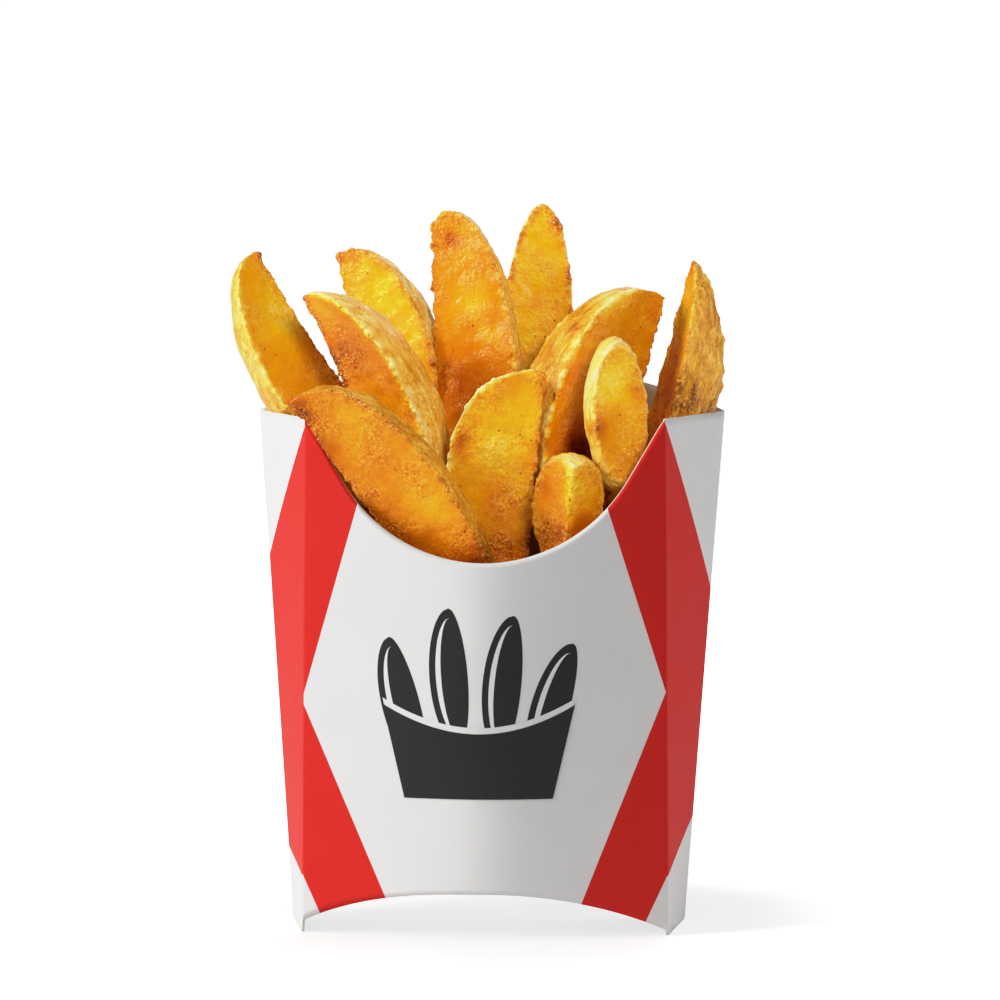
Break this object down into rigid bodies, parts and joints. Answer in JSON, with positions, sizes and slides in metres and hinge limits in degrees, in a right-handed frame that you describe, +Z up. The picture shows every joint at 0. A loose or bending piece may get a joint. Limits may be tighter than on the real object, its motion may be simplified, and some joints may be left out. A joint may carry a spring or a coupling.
{
  "type": "carton of potato wedges",
  "caption": "Folded paperboard scoop carton, standing upright, filled with skin-on fried potato wedges that fan out over its curved rim.",
  "frame": {"origin": "middle of the whole part's footprint, on the floor under the carton's side panels", "axes": "+Z up, +X to the right as seen from the front, +Y from the scooped front panel to the back panel"},
  "size_m": [0.1174, 0.0592, 0.1685],
  "materials": {
    "board": "smooth white coated board with plain red bands",
    "potato": "fried, lightly oiled"
  },
  "bodies": {
    "root": {"carton": "board", "wedge_front_left": "potato", "wedge_front": "potato", "wedge_small_front": "potato", "wedge_small_right": "potato", "wedge_left": "potato", "wedge_right": "potato", "wedge_tall": "potato", "wedge_far_left": "potato", "wedge_far_right": "potato", "wedge_back_left": "potato", "wedge_back": "potato", "lower_wedges": "potato"}
  },
  "joints": []
}
